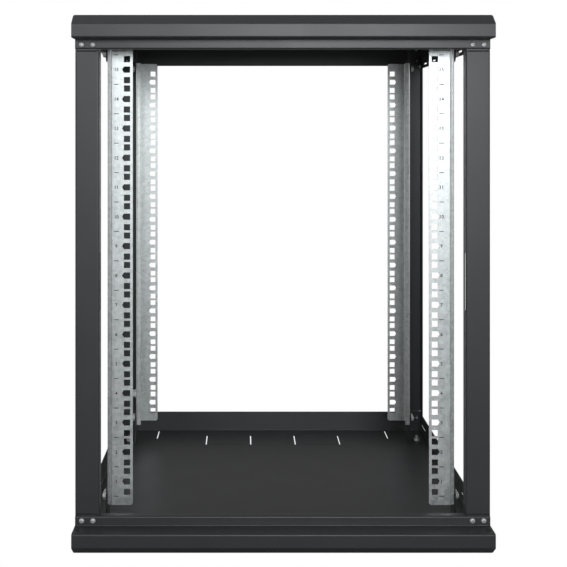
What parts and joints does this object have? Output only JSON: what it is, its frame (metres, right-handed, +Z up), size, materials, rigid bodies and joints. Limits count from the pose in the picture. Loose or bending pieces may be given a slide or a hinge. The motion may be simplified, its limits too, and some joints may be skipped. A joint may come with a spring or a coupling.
{
  "type": "open rack cabinet",
  "caption": "Open 19 inch rack cabinet of folded black sheet steel, with tray-shaped covers, four bolted posts and punched zinc mounting rails.",
  "frame": {"origin": "middle of the base, on the underside of the bottom cover", "axes": "+X to the cabinet's right seen from the front, +Y from the front to the rear, +Z up"},
  "size_m": [0.6, 0.6, 0.77],
  "materials": {
    "black_powder": "fine-textured black powder coat",
    "zinc_sheet": "zinc-plated sheet with a faint spangle",
    "bright_screw": "bright zinc-plated fasteners",
    "black_screw": "black-finished countersunk screws"
  },
  "bodies": {
    "root": {"bottom_cover": "black_powder", "top_cover": "black_powder", "front_left_post": "black_powder", "front_right_post": "black_powder", "rear_left_post": "black_powder", "rear_right_post": "black_powder", "side_rail_left": "black_powder", "side_rail_right": "black_powder", "bracket_front_left_bottom": "black_powder", "bracket_front_left_top": "black_powder", "bracket_front_right_bottom": "black_powder", "bracket_front_right_top": "black_powder", "bracket_rear_left_bottom": "black_powder", "bracket_rear_left_top": "black_powder", "bracket_rear_right_bottom": "black_powder", "bracket_rear_right_top": "black_powder", "rack_rail_front_left": "zinc_sheet", "rack_rail_front_right": "zinc_sheet", "rack_rail_rear_left": "zinc_sheet", "rack_rail_rear_right": "zinc_sheet", "bracket_bolts": "bright_screw", "bracket_nuts": "bright_screw", "floor_studs": "bright_screw", "stud_nuts": "bright_screw", "front_post_screws": "bright_screw", "rear_post_screws": "bright_screw", "earthing_bolt": "bright_screw", "earthing_nut": "bright_screw", "side_rail_screws": "black_screw"}
  },
  "joints": []
}
